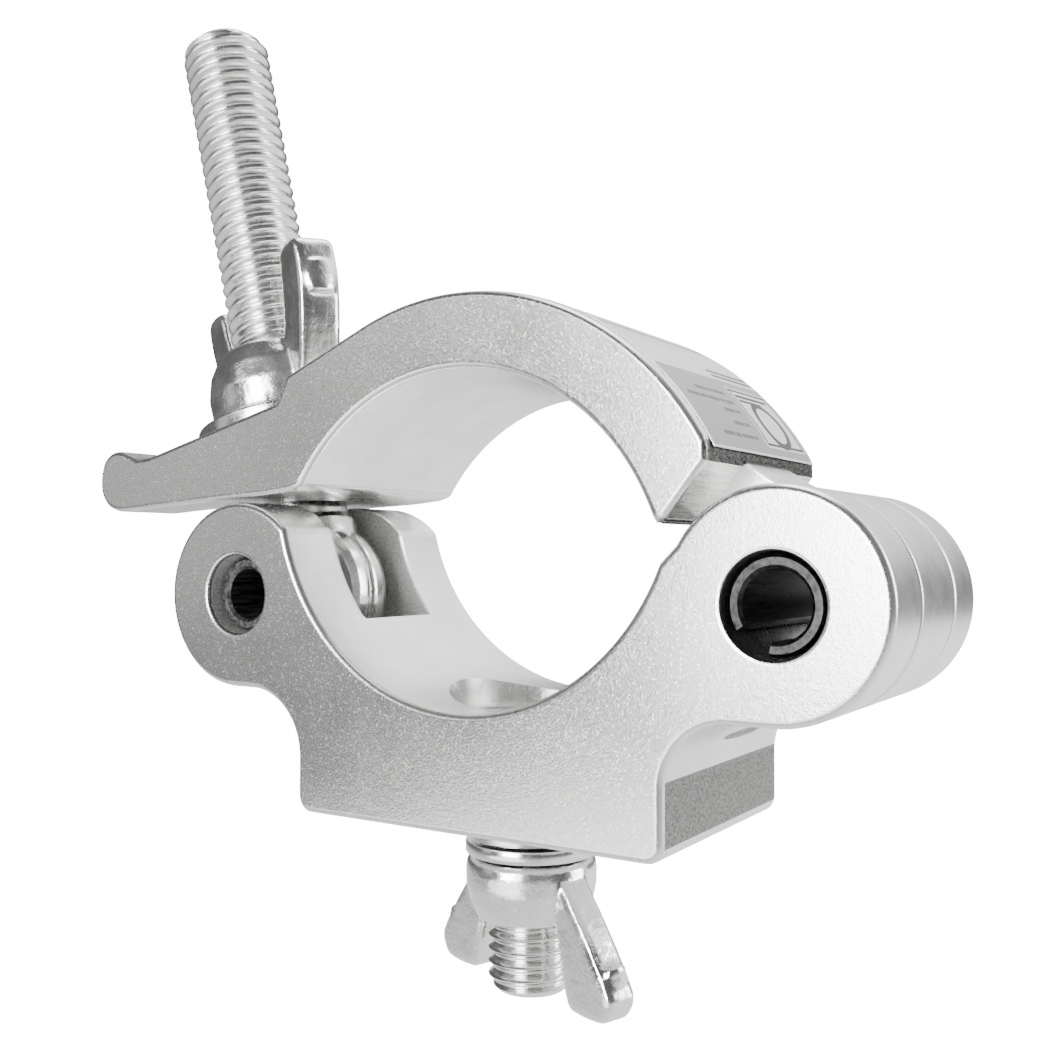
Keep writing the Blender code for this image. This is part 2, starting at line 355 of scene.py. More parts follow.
def ramp(tree, value, low, high, out_low, out_high, kind="LINEAR"):
    """Map a range of values onto another, in a straight line or a smooth step."""
    node = tree.nodes.new("ShaderNodeMapRange")
    node.interpolation_type = kind
    sockets = ("Value", "From Min", "From Max", "To Min", "To Max")
    for name, setting in zip(sockets, (value, low, high, out_low, out_high)):
        feed(tree, node.inputs[name], setting)
    return node.outputs[0]


class Shader:
    """A Principled material with a few procedural helpers."""

    def __init__(self, name, colour, metallic, roughness):
        self.material = bpy.data.materials.new(name)
        self.material.use_nodes = True
        self.tree = self.material.node_tree
        self.shader = self.tree.nodes["Principled BSDF"]
        self.colour(colour)
        feed(self.tree, self.shader.inputs["Metallic"], metallic)
        self.rough(roughness)
        self.coordinates = self.tree.nodes.new("ShaderNodeTexCoord").outputs["Object"]
        self.last_normal = None

    def link(self, output, target):
        self.tree.links.new(output, target)

    def noise(self, grain, detail=3.0, stretch=(1, 1, 1), roughness=0.55):
        """Noise whose features are about this size, in metres."""
        mapping = self.tree.nodes.new("ShaderNodeMapping")
        mapping.inputs["Scale"].default_value = stretch
        self.link(self.coordinates, mapping.inputs["Vector"])
        node = self.tree.nodes.new("ShaderNodeTexNoise")
        node.inputs["Scale"].default_value = 1 / grain
        node.inputs["Detail"].default_value = detail
        node.inputs["Roughness"].default_value = roughness
        self.link(mapping.outputs["Vector"], node.inputs["Vector"])
        return node.outputs["Fac"]

    def spots(self, size):
        """Voronoi cells of about this size, as a random value for each."""
        node = self.tree.nodes.new("ShaderNodeTexVoronoi")
        node.inputs["Scale"].default_value = 1 / size
        self.link(self.coordinates, node.inputs["Vector"])
        separate = self.tree.nodes.new("ShaderNodeSeparateColor")
        self.link(node.outputs["Color"], separate.inputs["Color"])
        return separate.outputs["Red"]

    def spread(self, value, low, high, out_low, out_high):
        return ramp(self.tree, value, low, high, out_low, out_high)

    def mixed(self, factor, colour_a, colour_b):
        node = self.tree.nodes.new("ShaderNodeMix")
        node.data_type = "RGBA"
        feed(self.tree, node.inputs["Factor"], factor)
        feed(self.tree, node.inputs[6], colour_a)
        feed(self.tree, node.inputs[7], colour_b)
        return node.outputs[2]

    def tint(self, value, low, high, dark, pale):
        """A colour that runs from dark to pale as the value runs from low to high."""
        return self.mixed(self.spread(value, low, high, 0, 1), dark, pale)

    def colour(self, value):
        feed(self.tree, self.shader.inputs["Base Color"], value)

    def rough(self, value):
        feed(self.tree, self.shader.inputs["Roughness"], value)

    def bump(self, height, distance, strength=1.0):
        """Add a layer of relief this deep, in metres."""
        node = self.tree.nodes.new("ShaderNodeBump")
        node.inputs["Strength"].default_value = strength
        node.inputs["Distance"].default_value = distance
        self.link(height, node.inputs["Height"])
        if self.last_normal:
            self.link(self.last_normal, node.inputs["Normal"])
        self.last_normal = node.outputs["Normal"]
        self.link(self.last_normal, self.shader.inputs["Normal"])


def sawn_aluminium():
    """The sawn and tumbled end faces: soft clouds, a fine grain and small sparkles."""
    made = Shader("sawn_aluminium", warm_grey(0.84), 1.0, 0.4)
    grain = made.noise(0.2 * MM, 3.0, roughness=0.65)
    coarse = made.noise(0.6 * MM, 5.0, roughness=0.65)
    cloud = made.noise(9 * MM, 3.0)
    sparkle = made.spread(made.spots(0.16 * MM), 0.88, 1.0, 0, 1)
    tone = made.tint(grain, 0.3, 0.7, warm_grey(0.64), warm_grey(0.92))
    made.colour(made.mixed(sparkle, tone, warm_grey(1.0)))
    base = made.spread(cloud, 0.2, 0.8, 0.19, 0.25)
    made.rough(maths(made.tree, "ADD", base, maths(made.tree, "MULTIPLY", sparkle, 0.12)))
    made.bump(coarse, 0.05 * MM, 0.4)
    made.bump(grain, 0.028 * MM, 0.6)
    return made.material


def drawn_aluminium():
    """The extruded skin: satin smooth, with a faint orange peel."""
    made = Shader("drawn_aluminium", warm_grey(0.84), 1.0, 0.3)
    patches = made.noise(2.5 * MM, 2.0)
    grain = made.noise(0.3 * MM, 2.0)
    cloud = made.noise(7 * MM, 2.0)
    made.colour(made.tint(cloud, 0.3, 0.7, warm_grey(0.78), warm_grey(0.90)))
    made.rough(made.spread(patches, 0.3, 0.7, 0.26, 0.30))
    made.bump(grain, 0.012 * MM, 0.35)
    return made.material


def grainy_shaded_aluminium():
    """Torn edges: a coarse grain, painted near-black as shade."""
    made = Shader("grainy_shaded_aluminium", warm_grey(0.7), 1.0, 0.3)
    grain = made.noise(0.28 * MM, 3.0, roughness=0.65)
    made.colour(made.tint(grain, 0.35, 0.65, (0.06, 0.06, 0.06), warm_grey(0.28)))
    made.rough(made.spread(grain, 0.3, 0.7, 0.24, 0.36))
    made.bump(grain, 0.04 * MM, 0.6)
    return made.material


def brushed_aluminium():
    """The upper jaw's milled end: streaks along the pipe."""
    made = Shader("brushed_aluminium", warm_grey(0.7), 1.0, 0.3)
    streaks = made.noise(0.45 * MM, 3.0, stretch=(1, 0.04, 1), roughness=0.6)
    made.colour(made.tint(streaks, 0.35, 0.65, warm_grey(0.36), warm_grey(0.84)))
    made.rough(made.spread(streaks, 0.3, 0.7, 0.22, 0.36))
    made.bump(streaks, 0.05 * MM, 0.6)
    return made.material


def shaded_wall_aluminium():
    """The slots' walls and the latch pin's bore: a dull darker grey, painted shade inside these
    recesses.
    """
    made = Shader("shaded_wall_aluminium", warm_grey(0.4), 0.2, 0.5)
    grain = made.noise(0.35 * MM, 3.0)
    made.colour(made.tint(grain, 0.3, 0.7, warm_grey(0.3), warm_grey(0.5)))
    made.bump(grain, 0.04 * MM, 0.5)
    return made.material


def bright_zinc(name="bright_zinc", rough=(0.14, 0.26)):
    """Zinc plate on turned and rolled steel."""
    made = Shader(name, warm_grey(0.84), 1.0, 0.2)
    cloud = made.noise(3.5 * MM, 3.0)
    fine = made.noise(0.3 * MM, 2.0)
    made.colour(made.tint(cloud, 0.35, 0.7, warm_grey(0.76), warm_grey(0.90)))
    made.rough(made.spread(fine, 0.3, 0.7, *rough))
    made.bump(fine, 0.012 * MM, 0.4)
    return made.material


def cast_zinc():
    """The wing nuts: a bright plated casting, a little lumpy, frosted in patches."""
    made = Shader("cast_zinc", warm_grey(0.84), 1.0, 0.2)
    lumps = made.noise(2.2 * MM, 3.0)
    frost = made.noise(0.22 * MM, 3.0)
    patches = made.noise(4.5 * MM, 2.0)
    made.colour(made.tint(frost, 0.3, 0.7, warm_grey(0.72), warm_grey(0.92)))
    made.rough(made.spread(patches, 0.35, 0.65, 0.13, 0.30))
    made.bump(lumps, 0.3 * MM, 0.5)
    made.bump(frost, 0.02 * MM, 0.5)
    return made.material


def pin_steel(name, dark, pale):
    """Rolled spring steel, oily and dark."""
    made = Shader(name, (pale, pale, pale), 1.0, 0.35)
    streaks = made.noise(0.6 * MM, 3.0, stretch=(1, 0.08, 1))
    made.colour(made.tint(streaks, 0.3, 0.7, (dark, dark, dark), (pale, pale, pale)))
    made.rough(made.spread(streaks, 0.3, 0.7, 0.28, 0.45))
    made.bump(streaks, 0.02 * MM, 0.4)
    return made.material


def pin_bore():
    """The pins' insides, painted black as the shade deep in the tube."""
    made = Shader("pin_bore", (0.012, 0.012, 0.012), 0.0, 0.5)
    made.shader.inputs["Specular IOR Level"].default_value = 0.15
    streaks = made.noise(0.5 * MM, 3.0, stretch=(1, 0.08, 1))
    made.colour(made.tint(streaks, 0.4, 0.75, (0.004, 0.004, 0.004), (0.06, 0.06, 0.06)))
    made.bump(streaks, 0.03 * MM, 0.5)
    return made.material


def foil(name, colour, roughness, metallic):
    """Printed silver foil."""
    made = Shader(name, colour, metallic, roughness)
    ripple = made.noise(6 * MM, 2.0)
    fibre = made.noise(0.2 * MM, 2.0)
    pale = tuple(min(1.0, c * 1.06) for c in colour)
    dull = tuple(c * 0.94 for c in colour)
    made.colour(made.tint(fibre, 0.3, 0.7, dull, pale))
    made.rough(made.spread(ripple, 0.3, 0.7, roughness - 0.05, roughness + 0.05))
    made.bump(ripple, 0.03 * MM, 0.25)
    return made.material


# ---------------------------------------------------------------- the jaws


def choose_faces(obj, kind):
    """Sawn faces across the pipe, and for the rest the slot that kind(face) gives."""
    for face in obj.data.polygons:
        across = abs(face.normal.y) > 0.8 and abs(face.center.y) > SLOT + MM
        face.material_index = SAWN if across else kind(face)


def lower_outline():
    """The lower extrusion's outline, from the pad's lower left corner round to the right."""
    corner = 1.9 * MM
    left_fillet = 7.5 * MM
    # The latch knuckle and the pipe seat meet here
    reach = hypot(*LATCH)
    along = (reach**2 + PIPE_R**2 - KNUCKLE_R**2) / (2 * reach)
    spread = (PIPE_R**2 - along**2) ** 0.5
    away = (LATCH[0] / reach, LATCH[1] / reach)
    meet = (away[0] * along + away[1] * spread, away[1] * along - away[0] * spread)
    bore_end = atan2(meet[1], meet[0])
    knuckle_start = atan2(meet[1] - LATCH[1], meet[0] - LATCH[0])
    left_fillet_at = (PAD_LEFT - left_fillet, LATCH[1] - KNUCKLE_R - left_fillet)
    points = arc((PAD_LEFT + corner, PAD_Z + corner), corner, pi, 1.5 * pi, 8)
    points += arc((PAD_RIGHT - corner, PAD_Z + corner), corner, 1.5 * pi, tau, 8)
    points += arc(RIGHT_FILLET_AT, RIGHT_FILLET, pi, pi / 2, 16)
    points += arc(HINGE, KNUCKLE_R, -pi / 2, radians(150), 72)
    points += arc((0, 0), PIPE_R, radians(-22), bore_end, 96)
    points += arc(LATCH, KNUCKLE_R, knuckle_start, 1.5 * pi, 64)[1:]
    points += arc(left_fillet_at, left_fillet, pi / 2, 0, 16)
    return points


def cut_gouge(jaw):
    """A shallow scar along the right fillet."""
    profile = scaled([(0, -6.2), (0.35, -4.5), (0.6, -1), (0.55, 2), (0.3, 4.8), (0, 6.2)])
    gouge = turned("gouge", profile, 16)
    gouge.data.transform(Matrix.Translation(GOUGE_AT) @ Matrix.Rotation(-pi / 2, 4, "X"))
    cut(jaw, gouge)


def lower_jaw_kind(face):
    """The material slot of a face that isn't an end face."""
    from_gouge = flat_distance(face.center, (GOUGE_AT[0], GOUGE_AT[2]))
    off_fillet = flat_distance(face.center, RIGHT_FILLET_AT) > RIGHT_FILLET + 0.03 * MM
    if from_gouge < 0.62 * MM and off_fillet and abs(face.center.y) < 10 * MM:
        return BRUSHED
    in_bore = flat_distance(face.center, LATCH) < LATCH_BORE_R + 0.1 * MM
    # Slot walls and the latch bore get the dull darker grey of painted shade
    if abs(face.normal.y) > 0.9 or in_bore and abs(face.normal.y) < 0.1:
        return SHADED_WALL
    # The pad's right side gets the near-black of painted shade
    return GRAINY_SHADED if face.normal.x > 0.995 and face.center.z < -30 * MM else DRAWN


def make_lower_jaw(metals):
    jaw = prism("lower_jaw_body", lower_outline(), -HALF_WIDTH, HALF_WIDTH)
    far = 80 * MM
    knuckle_room = arc(HINGE, KNUCKLE_R + 0.5 * MM, radians(168), radians(300), 60)
    knuckle_room += [(far, -far / 2), (far, far / 2), (10 * MM, far / 2), (18 * MM, -9 * MM)]
    cut(jaw, prism("room", knuckle_room, -SLOT, SLOT))
    eye_room = arc(LATCH, 13.6 * MM, radians(-70), radians(62), 60)
    eye_room += [(LATCH[0], far / 2), (-far, far / 2), (-far, -far / 2), (LATCH[0], -far / 2)]
    cut(jaw, prism("room", eye_room, -SLOT, SLOT))
    for centre, radius in ((HINGE, HINGE_BORE_R), (LATCH, LATCH_BORE_R)):
        cut(jaw, prism("bore", arc(centre, radius, 0, tau, 80)[:-1], -2 * HALF_WIDTH, 2 * HALF_WIDTH))
    cut(jaw, turned("pocket", [(0, POCKET_FLOOR), (POCKET_R, POCKET_FLOOR), (POCKET_R, 0), (0, 0)], 128))
    low = 1.3 * PAD_Z
    cut(jaw, turned("hole", [(0, low), (BOLT_HOLE_R, low), (BOLT_HOLE_R, 0), (0, 0)], 96))
    cut_gouge(jaw)
    tidy_mesh(jaw)
    slice_across(jaw, SLOT + 0.8 * MM, -SLOT - 0.8 * MM)
    bore_reach = 6 * MM
    for centre, width in ((HINGE, 0.45 * MM), (LATCH, 0.6 * MM)):
        round_edges(jaw, width, 2, in_plane(HALF_WIDTH, near=centre, reach=bore_reach))
    slot_rims = in_plane(SLOT, away=(HINGE, LATCH), reach=bore_reach)
    round_edges(jaw, 0.4 * MM, 2, lambda e: slot_rims(e) and e.verts[0].co.y * e.verts[1].co.y > 0)
    round_edges(jaw, 0.8 * MM, 3, in_plane(HALF_WIDTH, away=(HINGE, LATCH), reach=bore_reach))
    choose_faces(jaw, lower_jaw_kind)
    shade(jaw)
    place(jaw, "lower_jaw", "lower_jaw", "jaw_aluminium", *metals, shaded_wall_aluminium())


def on_circle(radius, degrees):
    """The point of a circle round the arch's centre."""
    return (ARCH[0] + radius * cos(radians(degrees)), ARCH[1] + radius * sin(radians(degrees)))


def upper_outline():
    """The arch, the nut's seat, the lip at the end of the tail and its underside."""
    seat = [(-26.2, 9.15), (-48.3, 3.75)]
    shoulder = scaled([(-24.6, 12.25), (-25.8, 9.75), *seat])
    lip = [(-50.6, 3.55), (-52.4, 4.15), (-54.2, 4.7), (-55.8, 4.55), (-57.2, 3.6), (-57.8, 2.0)]
    lip += [(-57.94, 0.4), (-57.5, -1.2), (-56.4, -2.4), (-54.8, -3.05), (-53.0, -3.2)]
    underside = scaled([(-36.0, -2.12), (-28.0, -1.75), (-23.9, -1.35), (-22.6, -1.0)])
    points = arc(ARCH, ARCH_R, radians(28.9), radians(112), 80)
    points += shoulder + flowing(scaled(lip), 3) + underside
    bore = arc(ARCH, PIPE_R, radians(147.5), radians(22.4), 100)
    inner = on_circle(PIPE_R, 18.1)
    outer = on_circle(ARCH_R, 26.7)
    points += bore[:-1] + eased(bore[-1], inner, towards(inner, outer, 1.9 * MM), 6)
    points.append(towards(outer, inner, 0.9 * MM))
    return points


def upper_jaw_kind(face):
    """The material slot of a face that isn't an end face."""
    # The arch's end face gets the near-black of painted shade
    if flat_distance(face.center, on_circle(ARCH_R, 27.5)) < 0.9 * MM:
        return GRAINY_SHADED
    in_end = 20 * MM < face.center.x < 30 * MM
    return BRUSHED if in_end and face.normal.dot(Vector((0.79, 0, -0.61))) > 0.97 else DRAWN


def make_upper_jaw(metals):
    jaw = prism("upper_jaw_body", upper_outline(), -HALF_WIDTH, HALF_WIDTH)
    plan = arc((FORK_END - FORK_W / 2, 0), FORK_W / 2, -pi / 2, pi / 2, 40)
    plan += [(-80 * MM, FORK_W / 2), (-80 * MM, -FORK_W / 2)]
    fork = prism("fork", plan, -20 * MM, 20 * MM)
    fork.data.transform(Matrix.Rotation(pi / 2, 4, "X"))
    cut(jaw, fork)
    neck = arc(HINGE, KNUCKLE_R, radians(95), radians(-215), 110)
    neck += scaled([(22.2, -4.0), (23.5, 1.5), (26.5, 1.5), (28.9, 0.5)])
    neck += flowing(scaled([(29.2, 0.2), (30.3, -0.5), (31.7, -1.4), (33.0, -2.0)]), 4)
    neck = prism("neck", neck, -NECK, NECK)
    cut(neck, prism("bore", arc(ARCH, PIPE_R + 0.02 * MM, 0, tau, 280)[:-1], -HALF_WIDTH, HALF_WIDTH))
    cut(neck, prism("bore", arc(HINGE, HINGE_BORE_R, 0, tau, 80)[:-1], -HALF_WIDTH, HALF_WIDTH))
    join(jaw, neck)
    tidy_mesh(jaw)
    round_edges(jaw, 0.4 * MM, 2, in_plane(NECK, away=(HINGE,), reach=6 * MM))
    round_edges(jaw, 0.7 * MM, 3, in_plane(HALF_WIDTH))
    choose_faces(jaw, upper_jaw_kind)
    shade(jaw)
    place(jaw, "upper_jaw", "upper_jaw", "jaw_aluminium", *metals)


# ---------------------------------------------------------------- pins


def make_spring_pin(name, node, centre, radius, length, opening, width, steel):
    """A rolled pin: a tube with a gap along it and both ends chamfered."""
    wall = 1.4 * MM
    bevel = 0.35 * MM
    half = length / 2
    section = [(radius - wall, -half + bevel), (radius - wall + bevel, -half), (radius - bevel, -half)]
    section += [(radius, -half + 1.6 * bevel)]
    section += [(r, -y) for r, y in reversed(section)]
    bm = bmesh.new()
    steps = 90
    start, sweep = opening + width / 2, tau - width
    rings = []
    for i in range(steps + 1):
        a = start + sweep * i / steps
        points = [(centre[0] + r * cos(a), y, centre[1] + r * sin(a)) for r, y in section]
        rings.append([bm.verts.new(point) for point in points])
    skin(bm, rings)
    pin = link(name, bm)
    for face in pin.data.polygons:
        inside = flat_distance(face.center, centre) < radius - wall + 0.1 * MM
        # The inside faces get the black of painted shade
        face.material_index = 1 if inside else 0
    shade(pin)
    place(pin, "lower_jaw", node, "spring_steel", *steel)


# ---------------------------------------------------------------- threads


def thread(name, radius, pitch, low, high, ends, per_turn=60):
    """A right-hand rolled thread along Z. ends gives the end radius and slope at each end."""
    depth = 0.48 * pitch
    # Parts of the pitch and of the depth, from a root over the crest to the next root
    profile = [(0.0, 1.0), (0.08, 0.95), (0.18, 0.74), (0.32, 0.34), (0.41, 0.1), (0.5, 0.0)]
    profile += [(1 - u, d) for u, d in reversed(profile[1:-1])]
    (low_r, low_slope), (high_r, high_slope) = ends
    bm = bmesh.new()
    steps = per_turn * (ceil((high - low) / pitch) + 2)
    rows = []
    for n in range(steps + 1):
        angle = tau * n / per_turn
        row = []
        for u, d in profile:
            z = low - pitch + pitch * (n / per_turn + u)
            limit = min(low_r + (z - low) * low_slope, high_r + (high - z) * high_slope)
            r = min(radius - depth * d, limit)
            if z <= low:
                z, r = low, low_r
            elif z >= high:
                z, r = high, high_r
            row.append(bm.verts.new((r * cos(angle), r * sin(angle), z)))
        rows.append(row)
    for n in range(steps):
        for k in range(len(profile)):
            if k + 1 < len(profile):
                corners = (rows[n][k], rows[n + 1][k], rows[n + 1][k + 1], rows[n][k + 1])
            elif n + 1 + per_turn <= steps:
                above, next_above = rows[n + per_turn], rows[n + 1 + per_turn]
                corners = (rows[n][k], rows[n + 1][k], next_above[0], above[0])
            else:
                continue
            bm.faces.new(corners)
    bmesh.ops.remove_doubles(bm, verts=bm.verts, dist=2e-6)
    bmesh.ops.dissolve_degenerate(bm, edges=bm.edges, dist=1e-6)
    rims = [e for e in bm.edges if e.is_boundary]
    bmesh.ops.holes_fill(bm, edges=rims, sides=0)
    rod = link(name, bm)
    shade(rod, radians(48))
    return rod


def make_swing_bolt(zinc):
    """The eye and plain shank, forged in one, and the M12 thread above them."""
    rim = [(0, 0.45), (0.35, 0.1), (0.9, 0), (2.2, 0.12), (3.3, 0.6), (4.2, 1.4), (4.8, 2.5), (5.0, 3.6)]
    outline = [(9.0 * MM - drop * MM, y * MM) for y, drop in rim]
    profile = [(4.7 * MM, -5 * MM)]
    profile += [(r, -y) for r, y in reversed(outline)] + outline[1:]
    profile += [(4.7 * MM, 5 * MM)]
    eye = turned("swing_bolt_eye", profile, 128)
    eye.data.transform(Matrix.Rotation(pi / 2, 4, "X"))
    shank = [(0, 6.0), (6.4, 6.0), (6.1, 8.6), (5.5, 9.3), (5.4, 10.4), (5.4, 19.7), (0, 19.7)]
    join(eye, turned("shank", scaled(shank), 96))
    remeshed(eye, 0.2 * MM, 3)
    cut(eye, prism("hole", arc((0, 0), LATCH_BORE_R, 0, tau, 80)[:-1], -HALF_WIDTH, HALF_WIDTH))
    shade(eye, radians(40))
    place(eye, "swing_bolt", "swing_bolt", "zinc_steel", zinc, matrix=SWING)
    ends = ((5.3 * MM, 0.9), (4.1 * MM, 1.15))
    rod = thread("swing_bolt_thread", 5.85 * MM, 1.75 * MM, 19.4 * MM, 78.5 * MM, ends)
    place(rod, "swing_bolt", None, "zinc_steel", zinc, matrix=SWING)


# ---------------------------------------------------------------- nuts, washers, fixture bolt


def make_washer(name, body, node, outer, inner, thickness, zinc, matrix):
    edge = 0.3 * MM
    profile = [(inner + edge / 2, 0), (outer - edge, 0), (outer - edge / 3, edge / 3), (outer, edge)]
    profile += [(r, thickness - z) for r, z in reversed(profile)] + [(inner, thickness / 2)]
    washer = turned(name, profile, 128)
    shade(washer)
    place(washer, body, node, "zinc_steel", zinc, matrix=matrix)


def wing_nut(name, hub, wing, thickness, knob, bore, socket):
    """A cast wing nut on its base at the origin, in mm: a barrel hub and two wings along X.

    The hub is a (radius, height) profile and the wing an (x, z) outline. The knob is the middle and
    height of a swelling on each wing's end, and the socket is the countersink's radius.
    """
    nut = turned(name, scaled(hub), 96)
    for side in (1, -1):
        outline = [(side * x, z) for x, z in flowing(scaled(wing), 3)]
        outline.append((side * wing[-1][0] * 0.4 * MM, wing[-1][1] * MM))
        outline.append((side * wing[0][0] * 0.4 * MM, wing[0][1] * MM))
        slab = prism("wing", outline, -thickness / 2 * MM, thickness / 2 * MM)
        round_edges(slab, 0.75 * MM, 2, in_plane(thickness / 2 * MM))
        join(nut, slab)
        x, z, height = (value * MM for value in knob)
        bump = turned("knob", scaled([(0, -1.4), (1.3, -1.2), (1.6, 0), (1.3, 1.2), (0, 1.4)]), 24)
        swell = Matrix.Diagonal((0.5, thickness / 4.2, height / (2.8 * MM), 1))
        bump.data.transform(Matrix.Translation((side * x, 0, z)) @ swell)
        join(nut, bump)
    remeshed(nut, 0.26 * MM, 4)
    top = max(z for _, z in hub) * MM
    well = [(0, -1), (socket + 1, -1), (socket, 0), (bore, socket - bore)]
    tool = scaled(well) + [(bore * MM, top - (socket - bore) * MM)]
    tool += [((socket + 1) * MM, top + MM), (0, top + MM)]
    cut(nut, turned("bore", tool, 96))
    return nut


def make_clamp_nut(zinc, cast):
    seat = SWING @ Matrix.Translation((0, 0, 20.75 * MM))
    sizes = (12 * MM, 6.4 * MM, 2.2 * MM)
    make_washer("clamp_washer_disc", "clamp_washer", "clamp_washer", *sizes, zinc, seat)
    hub = [(0, 0), (9.0, 0), (9.6, 0.5), (9.8, 1.6), (9.9, 4.0), (9.3, 6.8)]
    hub += [(8.1, 9.0), (7.4, 9.6), (0, 9.6)]
    wing = [(9.0, 1.0), (11.2, 3.4), (13.2, 7.2), (14.9, 11.8), (15.6, 15.0), (15.6, 18.2), (14.9, 19.5)]
    wing += [(13.3, 19.9), (11.2, 19.7), (10.1, 18.7), (9.6, 16.0), (8.8, 12.4), (7.6, 9.2)]
    nut = wing_nut("clamp_wing_nut_body", hub, wing, 5.6, (15.5, 14.2, 4.6), 5.5, 6.4)
    shade(nut, radians(45))
    turn = seat @ Matrix.Translation((0, 0, 2.4 * MM)) @ Matrix.Rotation(radians(-22), 4, "Z")
    place(nut, "clamp_wing_nut", "clamp_wing_nut", "cast_zinc", cast, matrix=turn)


def make_spring_washer(zinc):
    """A split ring of square wire, its ends sprung a little apart."""
    steps = 100
    split = radians(-118)
    gap = radians(7)
    base = PAD_Z - 2.65 * MM
    section = scaled([(5.2, 0.15), (5.35, 0), (7.4, 0), (7.6, 0.2)])
    section += scaled([(7.6, 1.9), (7.4, 2.1), (5.35, 2.1), (5.2, 1.95)])
    bm = bmesh.new()
    rings = []
    for i in range(steps + 1):
        a = split + gap / 2 + (tau - gap) * i / steps
        rise = 0.35 * MM * i / steps
        rings.append([bm.verts.new((r * cos(a), r * sin(a), base + z + rise)) for r, z in section])
    skin(bm, rings)
    washer = link("spring_washer_coil", bm)
    shade(washer)
    place(washer, "fixture_washers", "spring_washer", "zinc_steel", zinc)


def make_fixture_bolt(zinc):
    """The hexagon head in its pocket, and the M10 thread below it."""
    base = POCKET_FLOOR + 0.2 * MM
    height = 6 * MM
    corner = 8 * MM / cos(pi / 6)
    head = prism("fixture_bolt_head", arc((0, 0), corner, 0, tau, 6)[:-1], -height, 0)
    head.data.transform(Matrix.Rotation(-pi / 2, 4, "X"))
    foot = min(vertex.co.z for vertex in head.data.vertices)
    head.data.transform(Matrix.Translation((0, 0, -foot)))
    crown = [(0, -MM), (corner + MM, -MM), (corner + MM, height - 1.9 * MM)]
    crown += [(7.6 * MM, height), (0, height)]
    boolean(head, turned("crown", crown, 96), "INTERSECT")
    join(head, turned("neck", scaled([(0, 0.5), (4.9, 0.5), (4.9, -6), (0, -6)]), 64))
    shade(head)
    place(head, "lower_jaw", "fixture_bolt", "zinc_steel", zinc, matrix=Matrix.Translation((0, 0, base)))
    ends = ((3.9 * MM, 1.1), (4.6 * MM, 1.0))
    shaft = thread("fixture_bolt_thread", 4.95 * MM, 1.5 * MM, base - 25 * MM, base - 5.5 * MM, ends)
    place(shaft, "lower_jaw", None, "zinc_steel", zinc)


def make_fixture_nut(zinc, cast):
    make_spring_washer(zinc)
    under = Matrix.Translation((0, 0, PAD_Z - 4.5 * MM))
    sizes = (7.6 * MM, 5.25 * MM, 1.6 * MM)
    make_washer("plain_washer_disc", "fixture_washers", "plain_washer", *sizes, zinc, under)
    hub = [(0, 0), (6.9, 0), (7.4, 0.4), (7.55, 1.4), (7.5, 3.2), (7.1, 5.0)]
    hub += [(6.5, 6.5), (6.1, 7.0), (0, 7.0)]
    wing = [(6.9, 0.9), (8.6, 2.8), (10.6, 5.2), (12.9, 8.2), (14.9, 11.2), (15.5, 12.8), (14.6, 14.6)]
    wing += [(13.2, 15.2), (9.6, 15.2), (8.4, 14.5), (7.3, 11.0), (6.3, 6.6)]
    nut = wing_nut("fixture_wing_nut_body", hub, wing, 4.1, (14.3, 11.0, 4.2), 4.7, 5.4)
    shade(nut, radians(45))
    turn = Matrix.Rotation(radians(-19), 4, "Z") @ Matrix.Rotation(pi, 4, "X")
    turn = Matrix.Translation((0, 0, PAD_Z - 4.8 * MM)) @ turn
    place(nut, "fixture_wing_nut", "fixture_wing_nut", "cast_zinc", cast, matrix=turn)


# ---------------------------------------------------------------- label


def on_arch(angle, y, lift):
    """A point this far above the arch's outer face."""
    radius = ARCH_R + lift
    return (ARCH[0] + radius * cos(angle), y, ARCH[1] + radius * sin(angle))


def add_patch(bm, low, high, left, right, lift, thickness):
    """A thin slab round the arch, between two angles in degrees and two places along Y in mm."""
    steps = max(2, ceil((high - low) / 1.5))
    rows = []
    for i in range(steps + 1):
        a = radians(low + (high - low) * i / steps)
        corners = ((left, lift), (right, lift), (right, lift + thickness), (left, lift + thickness))
        rows.append([bm.verts.new(on_arch(a, y * MM, up)) for y, up in corners])
    skin(bm, rows)


def make_label_layer(name, patches, lift, thickness, material, node=None):
    """Patches of one material: (low, high, left, right), as add_patch takes them."""
    bm = bmesh.new()
    for low, high, left, right in patches:
        add_patch(bm, low, high, left, right, lift, thickness)
    layer = link(name, bm)
    shade(layer)
    place(layer, "upper_jaw", node, "label_foil", material)


def frame_patches(low, high, left, right, line, turn):
    """Four lines round a box: line is their width along Y, turn in degrees round the arch."""
    return [
        (low, low + turn, left, right),
        (high - turn, high, left, right),
        (low + turn, high - turn, left, left + line),
        (low + turn, high - turn, right - line, right),
    ]


def print_bars(rows):
    """Grey bars in place of lines of print: rows are an angle and the two ends along Y."""
    bars = []
    for angle, left, right in rows:
        at = left
        for word in (2.6, 1.3, 3.1, 0.9, 2.3):
            word = min(word, right - at)
            if word < 0.4:
                break
            bars.append((angle, angle + 0.75, at, at + word))
            at += word + 0.35
    return bars


